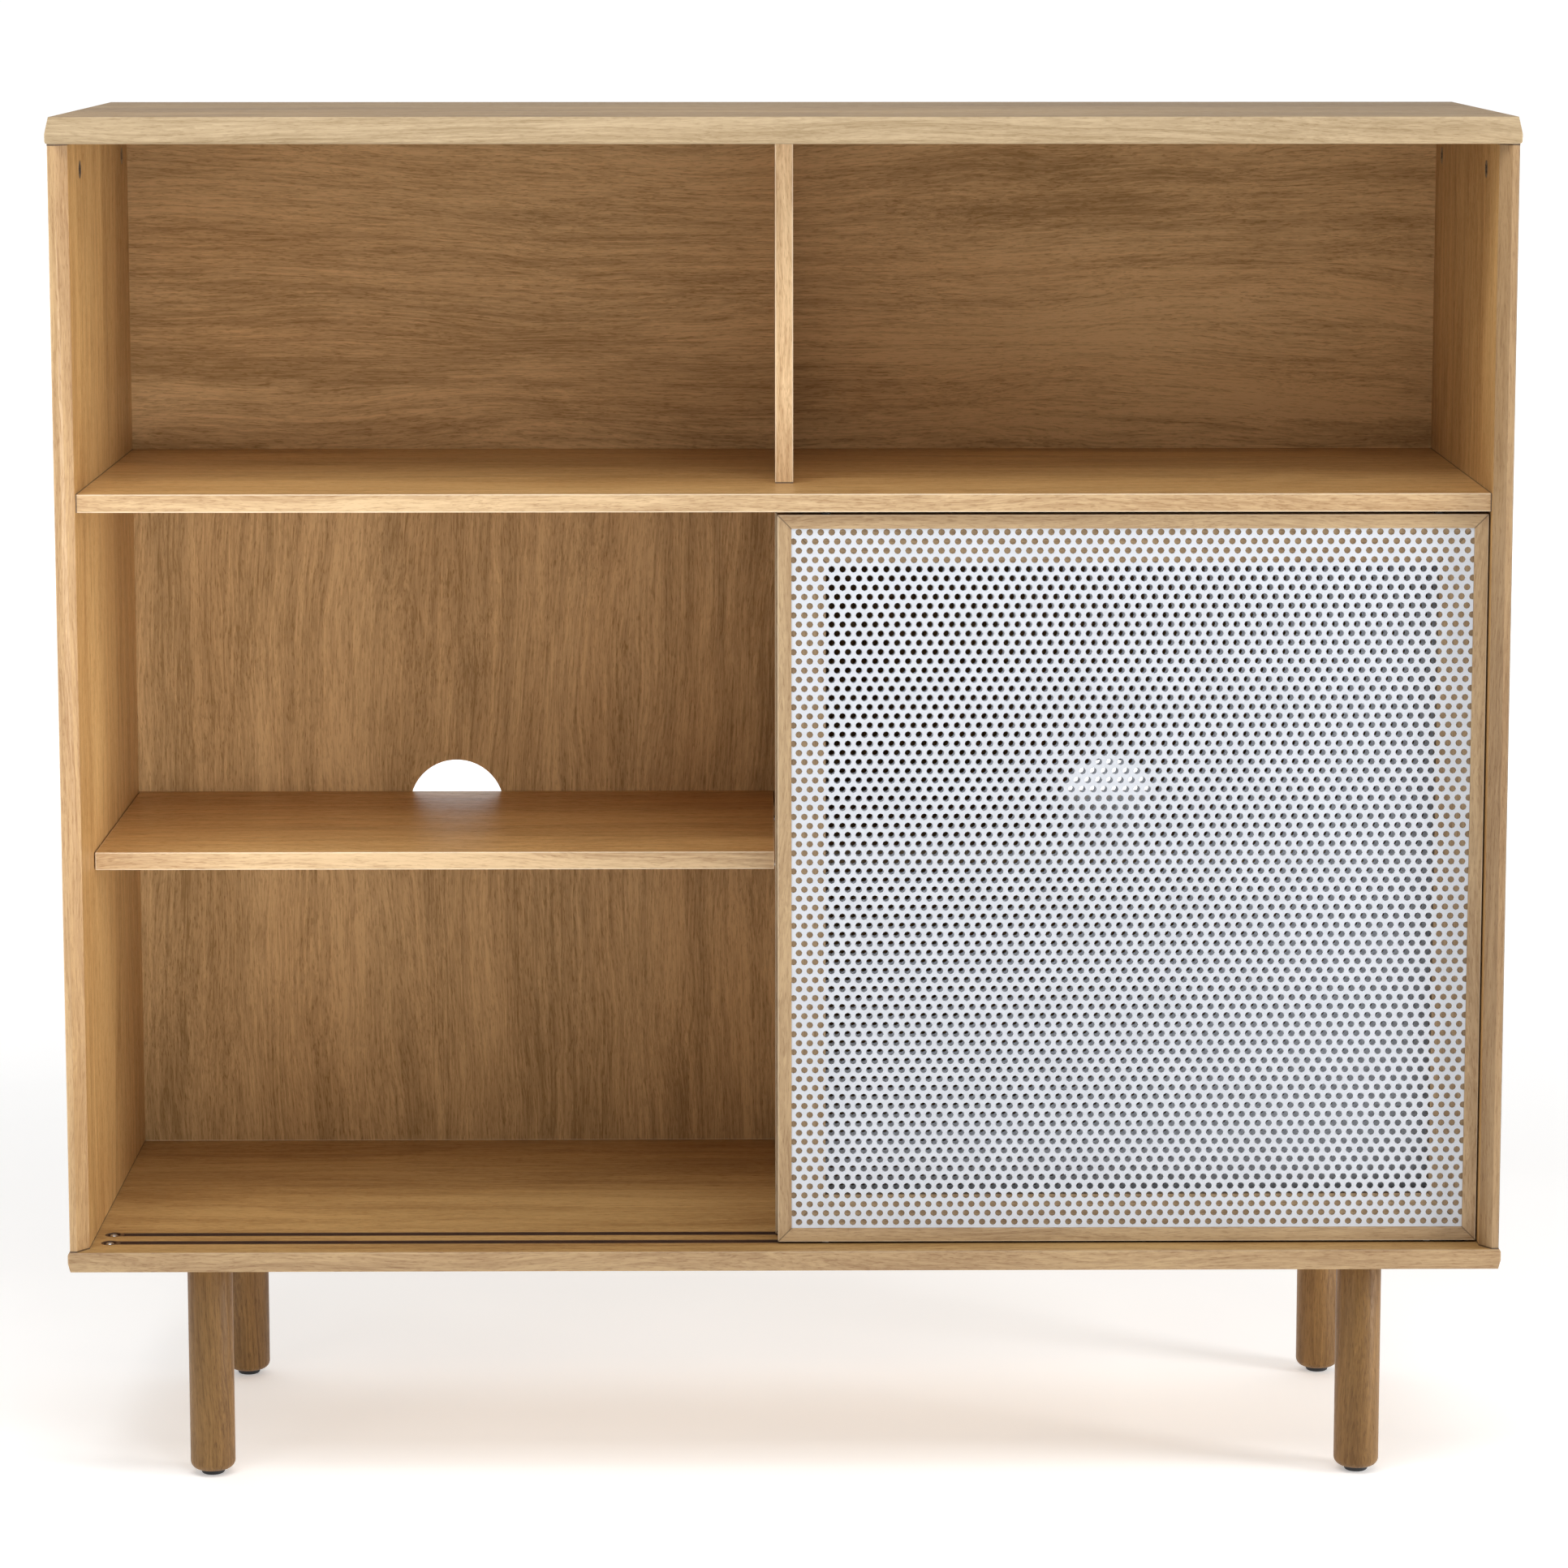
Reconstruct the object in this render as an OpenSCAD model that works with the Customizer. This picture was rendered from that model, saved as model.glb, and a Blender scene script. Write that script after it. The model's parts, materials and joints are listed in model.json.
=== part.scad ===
// Media cabinet: an open upper compartment over a lower one that is closed by two
// sliding doors with perforated steel panels. It stands on four turned legs.
// Millimetres. +X is right, +Y is the back, +Z is up. The origin is on the floor,
// under the middle of the cabinet.

/* [Overall size] */
// Width over the top and bottom boards
width = 1200; // [1000:10:1500]
// Depth from the front edge to the back edge
depth = 400; // [390:5:480]
// Height from the floor to the upper face of the top board
height = 1150; // [1100:5:1250]
// Height of a leg with its glide
leg_height = 188; // [120:1:230]

/* [Boards] */
// Thickness of the top board
top_t = 22; // [20:0.5:28]
// Thickness of the bottom board
bottom_t = 17; // [17:0.5:25]
// Thickness of the sides, shelves and dividers
board_t = 15; // [15:0.5:18]
// Thickness of the back panels
back_t = 4; // [3:0.5:5]
// How far the top and bottom boards stand past the sides
overhang = 1.7; // [0:0.1:4]

/* [Compartments] */
// Clear height of the upper compartment
upper_clear = 287.5; // [200:0.5:320]
// Clear height under the loose shelves of the lower compartment
shelf_rise = 309; // [260:1:330]
// Set-back of the fixed shelf's front edge
fixed_shelf_setback = 19; // [16:0.5:20]
// Set-back of the upper divider's front edge
upper_divider_setback = 101; // [60:1:160]
// Set-back of the lower divider's front edge
lower_divider_setback = 80; // [76:1:120]
// Set-back of the loose shelves' front edges
shelf_setback = 88; // [80:1:140]
// Diameter of the cable holes in the lower back panels
cable_hole_d = 85; // [50:1:95]

/* [Sliding doors] */
// Thickness of a door frame
door_t = 18; // [16:0.5:19]
// Width of a stile or rail
frame_w = 40; // [34:0.5:50]
// Width of the frame that shows round the perforated panel
frame_show = 11.5; // [8:0.5:16]
// How far the two doors overlap when the cabinet is closed
door_overlap = 12; // [6:1:20]
// Gap between a door and the bottom board
door_bottom_gap = 2; // [1.5:0.1:2.5]
// Gap between a door and the fixed shelf
door_top_gap = 3; // [2.8:0.1:4]
// Set-back of the front door's middle plane
front_track_setback = 33.3; // [31:0.1:34]
// Distance between the two doors' middle planes
track_pitch = 26.7; // [24:0.1:28]
// How far left of the front door the rear door stands when both are pushed right
rear_door_lag = 2; // [0:0.5:6]

/* [Legs] */
// Diameter of a leg
leg_d = 38; // [32:1:48]
// Distance from the cabinet's middle to a leg's axis, along the width
leg_x = 487; // [350:1:550]
// Distance from the cabinet's middle to a leg's axis, along the depth
leg_y = 150; // [110:1:165]
// Diameter of a glide
glide_d = 20; // [16:1:24]

/* [Hidden] */
$fn = 48;

// Colours
oak = [0.78, 0.62, 0.42];
oak_back = [0.56, 0.43, 0.29];
oak_frame = [0.76, 0.61, 0.41];
oak_leg = [0.58, 0.42, 0.26];
beech = [0.85, 0.72, 0.52];
white_steel = [0.92, 0.93, 0.94];
zinc = [0.66, 0.67, 0.69];
dark_plastic = [0.16, 0.10, 0.07];
black_plastic = [0.04, 0.04, 0.045];
white_plastic = [0.86, 0.86, 0.84];

// Clearance round whatever sits in a bore or a groove
fit = 0.05;
// How far a cut runs past the face that it opens
past = 1;

// Heights
bottom_z = leg_height;
floor_z = bottom_z + bottom_t;
ceiling_z = height - top_t;
shelf_z = ceiling_z - upper_clear - board_t;
shelf_mid_z = shelf_z + board_t / 2;
loose_z = floor_z + shelf_rise;
bay_mid_z = (floor_z + shelf_z) / 2;

// Places along the width, measured out from the middle
side_out = width / 2 - overhang;
side_in = side_out - board_t;
side_mid = (side_in + side_out) / 2;
divider_half = board_t / 2;
bay_mid_x = (side_in + divider_half) / 2;

// Places along the depth
front_y = -depth / 2;
back_y = depth / 2;
back_in_y = back_y - back_t;
fixed_shelf_y = front_y + fixed_shelf_setback;
front_door_y = front_y + front_track_setback;
rear_door_y = front_door_y + track_pitch;

// Edge shapes: the top board leans in towards its upper face and the bottom board
// towards its underside; both are rounded where they meet the sides
top_lean = [3, 14];
bottom_lean = [1.8, 8];
edge_r = 2.5;
// Bevel on the inner front edge of a side, across and back
side_bevel = [9.2, 12];
// Rebate for the back panels in the rear edge of a side
rebate_w = 8;
// Gap between two back panels and round a loose shelf
panel_gap = 0.5;
shelf_gap = 1;

// Tracks for the doors: a plastic channel let into the bottom board
track_w = 11;
track_h = 6;
track_slot = [6, 2.8];
track_end_d = 15;
track_end_x = side_in - 14.5;
track_end_recess = [11, 1.6];
// Channels for the doors' upper guides, let into the underside of the fixed shelf
channel_w = 10;
channel_h = 8;
channel_slot = [6, 7];
channel_half = side_in - 8;

// Doors
door_end_gap = 1.5;
door_w = side_in - door_end_gap + door_overlap / 2;
door_z = floor_z + door_bottom_gap;
door_h = shelf_z - door_top_gap - door_z;
door_x = side_in - door_end_gap - door_w;
panel_t = 1.2;
panel_recess = 1;
guide_inset = 40;
guide_pin_d = 5.4;
guide_flange = [9, 1];
guide_depth = 18;
glide_bite = 2.5;
guide_bite = 3;

// Fittings
cam_d = 15;
cam_h = 12;
cam_reach = 24;
side_cam_y = [front_y + 87, front_y + 359];
shelf_cam_y = [front_y + 120, front_y + 340];
bolt_d = 6;
bolt_head = [7, 3];
bolt_grip = 10;
dowel_d = 8;
dowel_l = 30;
side_dowel_y = [-60, 95];
shelf_dowel_y = [-30, 90];
divider_dowel_y = [-10, 85];
top_dowel_bite = 12;
thin_dowel_bite = 8;
confirmat = [5, 48];
confirmat_head = [9, 3.5];
bottom_screw_y = [-105, 130];
divider_screw_y = [-55, 135];
pin_d = 5;
pin_l = 16;
pin_y = [front_y + 128, front_y + 350];
back_screw = [3, 14];
back_screw_head = [6, 1.6];

// Legs
glide_h = 4.5;
glide_pin = [3, 15];
glide_edge_r = 2;
leg_edge_r = 7;
insert_d = 12;
insert_h = 8;
leg_bolt_d = 8;
leg_bolt_bite = 55;

// Back panel screws, as [x, z]
lower_screw_z = [for (i = [0:4]) floor_z + 20 + i * (shelf_z - floor_z - 40) / 4];
upper_screw_z = [for (i = [0:2]) shelf_z + board_t + 20 + i * (upper_clear - 40) / 2];
seam_x = [for (i = [1:3]) i * side_in / 4 + 10];
upper_seam_x = [for (i = [-2:2]) i * side_in / 2.6];
divider_screw_z = [for (i = [1:3]) floor_z + i * (shelf_z - floor_z) / 4];
lower_back_screws = [
    for (z = lower_screw_z) [side_in + rebate_w / 2, z],
    for (x = seam_x) [x, shelf_mid_z - board_t / 4],
    for (z = divider_screw_z) [divider_half / 2 + panel_gap, z]
];
upper_back_screws = [
    for (side = [-1, 1], z = upper_screw_z) [side * (side_in + rebate_w / 2), z],
    for (x = upper_seam_x) [x, shelf_mid_z + board_t / 4],
    for (k = [1, 3]) [0, shelf_z + board_t + k * upper_clear / 4]
];

// ---- Shapes used by several parts ----

// Points of a quarter circle round [cx, cy], from angle a to a + 90
function quarter(cx, cy, r, a) =
    [for (i = [0:6]) [cx + r * cos(a + 15 * i), cy + r * sin(a + 15 * i)]];

// Half outline of the top board's edge, with the widest point at x = 0
function top_edge(t) = concat(
    quarter(-edge_r, edge_r, edge_r, -90),
    [[0, t - top_lean[1]], [-top_lean[0], t]]
);

// Half outline of the bottom board's edge
function bottom_edge(t) = concat(
    [[-bottom_lean[0], 0], [0, bottom_lean[1]]],
    quarter(-edge_r, t - edge_r, edge_r, 0)
);

// The same edge moved out to x = half, and mirrored when side is -1
function placed(edge, half, side) = [for (p = edge) [side * (half + p[0]), p[1]]];

// A board with a shaped edge at the front and at both ends, and a square back
module shaped_board(edge, t) {
    intersection() {
        rotate([90, 0, 0])
            linear_extrude(depth + 2 * past, center = true)
                polygon(concat(
                    placed(edge, width / 2, 1),
                    [for (i = [len(edge) - 1:-1:0]) placed(edge, width / 2, -1)[i]]
                ));
        rotate([90, 0, 90])
            linear_extrude(width + 2 * past, center = true)
                polygon(concat(
                    placed(edge, -front_y, -1),
                    [[back_y, t], [back_y, 0]]
                ));
    }
}

// A block from one corner to the opposite one
module block(low, high) {
    translate(low)
        cube(high - low);
}

// A cylinder that starts at a point and runs along an axis: "x", "y" or "z"
module rod(at, axis, d, l) {
    turn = axis == "x" ? [0, 90, 0] : axis == "y" ? [-90, 0, 0] : [0, 0, 0];
    translate(at)
        rotate(turn)
            cylinder(d = d, h = l);
}

// Cam housing with its face on the plane z = 0 and its body above; the bolt comes
// in along +X at height 'axis_h'
module cam(axis_h) {
    slot = [9, 1.6, 1.5];
    difference() {
        cylinder(d = cam_d, h = cam_h);
        translate([-bolt_head[1], 0, axis_h])
            rotate([0, 90, 0])
                cylinder(d = bolt_head[0] + 2 * fit, h = cam_d);
        for (a = [45, 135])
            rotate([0, 0, a])
                translate([-slot[0] / 2, -slot[1] / 2, -past])
                    cube([slot[0], slot[1], slot[2] + past]);
    }
}

// Cam bolt along +X: its head lies in the cam at x = 0, its thread ends the bolt
module cam_bolt() {
    neck = 4;
    rod([-bolt_head[1] + fit, 0, 0], "x", bolt_head[0], bolt_head[1]);
    rod([-bolt_head[1] + 1, 0, 0], "x", bolt_head[0] - 3, neck + 1);
    rod([neck - bolt_head[1] + 1, 0, 0], "x", bolt_d, cam_reach + bolt_grip - neck + bolt_head[1] - 1);
}

// Screw with a countersunk head on z = 0, pointing along +Z
module countersunk(shank, head) {
    cylinder(d = shank[0], h = shank[1]);
    cylinder(d1 = head[0], d2 = shank[0], h = head[1]);
}

// Bore for that screw
module countersunk_bore(shank, head) {
    cylinder(d = shank[0] + 2 * fit, h = shank[1] + fit);
    cylinder(d1 = head[0] + 2 * fit, d2 = shank[0] + 2 * fit, h = head[1]);
    translate([0, 0, -past])
        cylinder(d = head[0] + 2 * fit, h = past);
}

// ---- Where the fittings go ----

// Cams in the tops of the sides, seen from the inner faces
module at_side_cams() {
    for (side = [-1, 1], y = side_cam_y)
        translate([side * side_in, y, ceiling_z - cam_reach])
            rotate([0, 0, side > 0 ? 0 : 180])
                rotate([0, 90, 0])
                    rotate([0, 0, 180])
                        children();
}

// Cams in the underside of the fixed shelf
module at_shelf_cams() {
    for (side = [-1, 1], y = shelf_cam_y)
        translate([side * (side_in - cam_reach), y, shelf_z])
            rotate([0, 0, side > 0 ? 0 : 180])
                children();
}

module cam_pockets() {
    at_side_cams()
        translate([0, 0, -past])
            cylinder(d = cam_d + 2 * fit, h = cam_h + past + fit);
    at_shelf_cams()
        translate([0, 0, -past])
            cylinder(d = cam_d + 2 * fit, h = cam_h + past + fit);
}

// Bores for the bolts, through the board edge and into the board that it joins
module bolt_bores() {
    at_side_cams()
        rod([0, 0, board_t / 2], "x", bolt_d + 2 * fit, cam_reach + bolt_grip + fit);
    at_shelf_cams()
        rod([0, 0, board_t / 2], "x", bolt_d + 2 * fit, cam_reach + bolt_grip + fit);
}

// Every wood dowel of the carcass, thickened by 'extra' all round
module dowel_set(extra) {
    d = dowel_d + 2 * extra;
    l = dowel_l + 2 * extra;
    for (side = [-1, 1], y = side_dowel_y) {
        rod([side * side_mid, y, ceiling_z + top_dowel_bite - dowel_l - extra], "z", d, l);
        rod([side * side_mid, y, floor_z - thin_dowel_bite - extra], "z", d, l);
    }
    for (side = [-1, 1], y = shelf_dowel_y)
        rod([side * (side_in + thin_dowel_bite - dowel_l / 2) - l / 2, y, shelf_mid_z], "x", d, l);
    for (y = divider_dowel_y) {
        rod([0, y, ceiling_z + top_dowel_bite - dowel_l - extra], "z", d, l);
        rod([0, y, shelf_z + thin_dowel_bite - dowel_l - extra], "z", d, l);
    }
}

// Places of the long screws: up through the bottom board, and through the fixed shelf
module at_carcass_screws() {
    for (side = [-1, 1], y = bottom_screw_y)
        translate([side * side_mid, y, bottom_z])
            children();
    for (y = bottom_screw_y)
        translate([0, y, bottom_z])
            children();
    for (y = divider_screw_y)
        translate([0, y, shelf_z])
            children();
}

// Places of the back panel screws: 1 for the right, -1 for the left, 0 for the upper panel
module at_back_screws(panel) {
    places = panel == 0 ? upper_back_screws
        : [for (p = lower_back_screws) [panel * p[0], p[1]]];
    for (p = places)
        translate([p[0], back_y, p[1]])
            rotate([90, 0, 0])
                children();
}

module back_screw_bores() {
    for (panel = [-1, 0, 1])
        at_back_screws(panel)
            countersunk_bore(back_screw, back_screw_head);
}

// Shelf pins in the sides and in the lower divider
module at_shelf_pins() {
    for (face = [-side_in, -divider_half, divider_half, side_in], y = pin_y)
        translate([face - pin_l / 2, y, loose_z - pin_d / 2])
            rotate([0, 90, 0])
                children();
}

module at_legs() {
    for (x = [-leg_x, leg_x], y = [-leg_y, leg_y])
        translate([x, y, 0])
            children();
}

// ---- Carcass boards ----

module top_panel() {
    color(oak)
        difference() {
            translate([0, 0, ceiling_z])
                shaped_board(top_edge(top_t), top_t);
            dowel_set(fit);
            bolt_bores();
        }
}

module bottom_panel() {
    color(oak)
        difference() {
            translate([0, 0, bottom_z])
                shaped_board(bottom_edge(bottom_t), bottom_t);
            for (y = [front_door_y, rear_door_y])
                track_body(y, fit);
            at_track_screws()
                rod([0, 0, -8], "z", back_screw[0] + 2 * fit, 10);
            dowel_set(fit);
            at_carcass_screws()
                countersunk_bore(confirmat, confirmat_head);
            at_legs()
                rod([0, 0, bottom_z - past], "z", insert_d + 2 * fit, insert_h + past + fit);
        }
}

// Side board: the outline is its plan, with the bevel at the front and the rebate behind
module side_panel(side) {
    plan = [
        [side_out, front_y + overhang],
        [side_in + side_bevel[0], front_y + overhang],
        [side_in, front_y + overhang + side_bevel[1]],
        [side_in, back_in_y],
        [side_in + rebate_w, back_in_y],
        [side_in + rebate_w, back_y],
        [side_out, back_y]
    ];
    difference() {
        translate([0, 0, floor_z])
            linear_extrude(ceiling_z - floor_z)
                polygon([for (p = plan) [side * p[0], p[1]]]);
        cam_pockets();
        bolt_bores();
        dowel_set(fit);
        at_carcass_screws()
            countersunk_bore(confirmat, confirmat_head);
        back_screw_bores();
        at_shelf_pins()
            translate([0, 0, -fit])
                cylinder(d = pin_d + 2 * fit, h = pin_l + 2 * fit);
    }
}

module left_side_panel() {
    color(oak) side_panel(-1);
}

module right_side_panel() {
    color(oak) side_panel(1);
}

module fixed_shelf() {
    color(oak)
        difference() {
            block([-side_in, fixed_shelf_y, shelf_z], [side_in, back_in_y, shelf_z + board_t]);
            for (y = [front_door_y, rear_door_y])
                channel_body(y, fit);
            cam_pockets();
            bolt_bores();
            dowel_set(fit);
            at_carcass_screws()
                countersunk_bore(confirmat, confirmat_head);
            back_screw_bores();
        }
}

module upper_divider() {
    color(oak)
        difference() {
            block(
                [-divider_half, front_y + upper_divider_setback, shelf_z + board_t],
                [divider_half, back_in_y, ceiling_z]
            );
            dowel_set(fit);
            at_carcass_screws()
                countersunk_bore(confirmat, confirmat_head);
            back_screw_bores();
        }
}

module lower_divider() {
    color(oak)
        difference() {
            block(
                [-divider_half, front_y + lower_divider_setback, floor_z],
                [divider_half, back_in_y, shelf_z]
            );
            dowel_set(fit);
            at_carcass_screws()
                countersunk_bore(confirmat, confirmat_head);
            back_screw_bores();
            at_shelf_pins()
                translate([0, 0, -fit])
                    cylinder(d = pin_d + 2 * fit, h = pin_l + 2 * fit);
        }
}

// Loose shelf of the lower compartment, resting on its pins
module loose_shelf(side) {
    low_x = side > 0 ? divider_half + shelf_gap : shelf_gap - side_in;
    high_x = side > 0 ? side_in - shelf_gap : -divider_half - shelf_gap;
    block(
        [low_x, front_y + shelf_setback, loose_z],
        [high_x, back_in_y - panel_gap, loose_z + board_t]
    );
}

module left_shelf() {
    color(oak) loose_shelf(-1);
}

module right_shelf() {
    color(oak) loose_shelf(1);
}

module upper_back_panel() {
    half = side_in + rebate_w - panel_gap;
    color(oak_back)
        difference() {
            block([-half, back_in_y, shelf_mid_z + panel_gap / 2], [half, back_y, ceiling_z]);
            back_screw_bores();
        }
}

module lower_back_panel(side) {
    far = side_in + rebate_w - panel_gap;
    low_x = side > 0 ? panel_gap / 2 : -far;
    high_x = side > 0 ? far : -panel_gap / 2;
    difference() {
        block([low_x, back_in_y, floor_z], [high_x, back_y, shelf_mid_z - panel_gap / 2]);
        rod([side * bay_mid_x, back_in_y - past, bay_mid_z], "y", cable_hole_d, back_t + 2 * past);
        back_screw_bores();
    }
}

module lower_left_back_panel() {
    color(oak_back) lower_back_panel(-1);
}

module lower_right_back_panel() {
    color(oak_back) lower_back_panel(1);
}

// ---- Door tracks ----

// Outline of a bottom track in its groove, widened by 'extra'
module track_body(y, extra) {
    half = track_w / 2 + extra;
    low = floor_z - track_h;
    high = extra > 0 ? floor_z + past : floor_z;
    block([-track_end_x, y - half, low], [track_end_x, y + half, high]);
    for (side = [-1, 1])
        rod([side * track_end_x, y, low], "z", track_end_d + 2 * extra, high - low);
}

// The slot ends short of the round ends, which are dished for their screws
module track(y) {
    slot_half = track_end_x - track_end_d / 2 - 1;
    difference() {
        track_body(y, 0);
        block(
            [-slot_half, y - track_slot[0] / 2, floor_z - track_slot[1]],
            [slot_half, y + track_slot[0] / 2, floor_z + past]
        );
        for (side = [-1, 1])
            translate([side * track_end_x, y, floor_z - track_end_recess[1]]) {
                cylinder(d = track_end_recess[0], h = track_end_recess[1] + past);
                rod([0, 0, -track_h], "z", back_screw[0] + 2 * fit, track_h + past);
            }
    }
}

module at_track_screws() {
    for (side = [-1, 1], y = [front_door_y, rear_door_y])
        translate([side * track_end_x, y, floor_z - track_end_recess[1]])
            children();
}

module front_track() {
    color(dark_plastic) track(front_door_y);
}

module rear_track() {
    color(dark_plastic) track(rear_door_y);
}

// Round-headed screws in the ends of the tracks
module track_screws() {
    head_d = 7;
    shank_l = 8;
    color(zinc)
        at_track_screws() {
            rod([0, 0, -shank_l], "z", back_screw[0], shank_l);
            difference() {
                intersection() {
                    cylinder(d = head_d, h = head_d);
                    translate([0, 0, -head_d / 2 + 1.4])
                        sphere(d = head_d + 2);
                }
                for (a = [0, 90])
                    rotate([0, 0, a])
                        translate([-1.8, -0.4, 1.2])
                            cube([3.6, 0.8, head_d]);
            }
        }
}

// Outline of an upper channel in its groove, widened by 'extra'
module channel_body(y, extra) {
    half = channel_w / 2 + extra;
    low = extra > 0 ? shelf_z - past : shelf_z;
    block([-channel_half, y - half, low], [channel_half, y + half, shelf_z + channel_h]);
}

module guide_channel(y) {
    difference() {
        channel_body(y, 0);
        block(
            [-channel_half - past, y - channel_slot[0] / 2, shelf_z - past],
            [channel_half + past, y + channel_slot[0] / 2, shelf_z + channel_slot[1]]
        );
    }
}

module front_guide_channel() {
    color(dark_plastic) guide_channel(front_door_y);
}

module rear_guide_channel() {
    color(dark_plastic) guide_channel(rear_door_y);
}

// ---- Fittings of the carcass ----

module shelf_pins() {
    color(zinc)
        at_shelf_pins()
            cylinder(d = pin_d, h = pin_l);
}

module cam_locks() {
    color(zinc) {
        at_side_cams() cam(board_t / 2);
        at_shelf_cams() cam(board_t / 2);
    }
}

module cam_bolts() {
    color(zinc) {
        at_side_cams()
            translate([0, 0, board_t / 2])
                cam_bolt();
        at_shelf_cams()
            translate([0, 0, board_t / 2])
                cam_bolt();
    }
}

module wood_dowels() {
    color(beech) dowel_set(0);
}

module carcass_screws() {
    color(zinc)
        at_carcass_screws()
            countersunk(confirmat, confirmat_head);
}

module back_panel_screws() {
    color(zinc)
        for (panel = [-1, 0, 1])
            at_back_screws(panel)
                countersunk(back_screw, back_screw_head);
}

// ---- Legs ----

// Turned leg: a straight round post with a rounded lower edge
module leg(x, y) {
    r = leg_d / 2;
    color(oak_leg)
        translate([x, y, 0])
            difference() {
                translate([0, 0, glide_h])
                    rotate_extrude()
                        union() {
                            square([r - leg_edge_r, bottom_z - glide_h]);
                            translate([0, leg_edge_r])
                                square([r, bottom_z - glide_h - leg_edge_r]);
                            translate([r - leg_edge_r, leg_edge_r])
                                circle(r = leg_edge_r);
                        }
                rod([0, 0, glide_h - past], "z", glide_pin[0] + 2 * fit, glide_pin[1] + past + fit);
                rod([0, 0, bottom_z - leg_bolt_bite - fit], "z", leg_bolt_d + 2 * fit, leg_bolt_bite + past);
            }
}

module front_left_leg() {
    leg(-leg_x, -leg_y);
}

module front_right_leg() {
    leg(leg_x, -leg_y);
}

module back_left_leg() {
    leg(-leg_x, leg_y);
}

module back_right_leg() {
    leg(leg_x, leg_y);
}

// Threaded inserts in the underside of the bottom board
module leg_inserts() {
    color(zinc)
        at_legs()
            difference() {
                rod([0, 0, bottom_z], "z", insert_d, insert_h);
                rod([0, 0, bottom_z - past], "z", leg_bolt_d + 2 * fit, insert_h + 2 * past);
            }
}

// Studs that hold the legs
module leg_bolts() {
    color(zinc)
        at_legs()
            rod([0, 0, bottom_z - leg_bolt_bite], "z", leg_bolt_d, leg_bolt_bite + insert_h - 0.5);
}

// Nail-on plastic glide with a rounded lower edge
module foot_glide(x, y) {
    r = glide_d / 2;
    edge = glide_edge_r;
    color(black_plastic)
        translate([x, y, 0]) {
            rotate_extrude()
                union() {
                    square([r - edge, glide_h]);
                    translate([0, edge])
                        square([r, glide_h - edge]);
                    translate([r - edge, edge])
                        circle(r = edge);
                }
            rod([0, 0, glide_h - 0.5], "z", glide_pin[0], glide_pin[1] + 0.5);
        }
}

module front_left_glide() {
    foot_glide(-leg_x, -leg_y);
}

module front_right_glide() {
    foot_glide(leg_x, -leg_y);
}

module back_left_glide() {
    foot_glide(-leg_x, leg_y);
}

module back_right_glide() {
    foot_glide(leg_x, leg_y);
}

// ---- Sliding doors ----
// A door is drawn in its own frame: x and z from its lower left corner, y from its
// middle plane, with the perforated panel on the side of -y

module at_door(rear) {
    translate([
        rear ? door_x - rear_door_lag : door_x,
        rear ? rear_door_y : front_door_y,
        door_z
    ])
        children();
}

// A stile or rail: a mitred outline in x and z, with a rebate for the panel
module frame_member(outline) {
    difference() {
        rotate([90, 0, 0])
            linear_extrude(door_t, center = true)
                polygon(outline);
        block(
            [frame_show, -door_t / 2 - past, frame_show],
            [door_w - frame_show, panel_recess + panel_t - door_t / 2, door_h - frame_show]
        );
        mitre_dowel_set(fit);
        guide_bores();
    }
}

module left_stile() {
    frame_member([[0, 0], [frame_w, frame_w], [frame_w, door_h - frame_w], [0, door_h]]);
}

module right_stile() {
    frame_member([
        [door_w, 0],
        [door_w, door_h],
        [door_w - frame_w, door_h - frame_w],
        [door_w - frame_w, frame_w]
    ]);
}

module top_rail() {
    frame_member([
        [0, door_h],
        [frame_w, door_h - frame_w],
        [door_w - frame_w, door_h - frame_w],
        [door_w, door_h]
    ]);
}

module bottom_rail() {
    frame_member([[0, 0], [door_w, 0], [door_w - frame_w, frame_w], [frame_w, frame_w]]);
}

// Two dowels across each mitre
module mitre_dowel_set(extra) {
    d = 6;
    l = 24;
    y = (panel_recess + panel_t) / 2;
    for (right = [0, 1], top = [0, 1], s = [21, 36])
        translate([
            right * door_w + (right > 0 ? -1 : 1) * s / sqrt(2),
            y,
            top * door_h + (top > 0 ? -1 : 1) * s / sqrt(2)
        ])
            rotate([0, right == top ? 135 : 45, 0])
                cylinder(d = d + 2 * extra, h = l + 2 * extra, center = true);
}

// Bores in the rails for the glides below and the guides above
module guide_bores() {
    d = guide_pin_d + 2 * fit;
    for (x = [guide_inset, door_w - guide_inset]) {
        rod([x, 0, -past], "z", d, guide_depth + past + fit);
        rod([x, 0, door_h - guide_depth - fit], "z", d, guide_depth + past + fit);
    }
}

module perforated_panel() {
    block(
        [frame_show + fit, panel_recess - door_t / 2, frame_show + fit],
        [door_w - frame_show - fit, panel_recess + panel_t - door_t / 2, door_h - frame_show - fit]
    );
}

// Plastic pins that run in the channels of the fixed shelf
module top_guides() {
    for (x = [guide_inset, door_w - guide_inset]) {
        rod([x, 0, door_h - guide_depth], "z", guide_pin_d, guide_depth + door_top_gap + guide_bite);
        rod([x, 0, door_h], "z", guide_flange[0], guide_flange[1]);
    }
}

// Plastic glides that carry the door on its track
module bottom_glides() {
    for (x = [guide_inset, door_w - guide_inset]) {
        rod(
            [x, 0, -door_bottom_gap - glide_bite], "z",
            guide_pin_d, guide_depth + door_bottom_gap + glide_bite
        );
        rod([x, 0, -guide_flange[1]], "z", guide_flange[0], guide_flange[1]);
    }
}

module front_door_left_stile() {
    color(oak_frame) at_door(false) left_stile();
}

module front_door_right_stile() {
    color(oak_frame) at_door(false) right_stile();
}

module front_door_top_rail() {
    color(oak_frame) at_door(false) top_rail();
}

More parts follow.
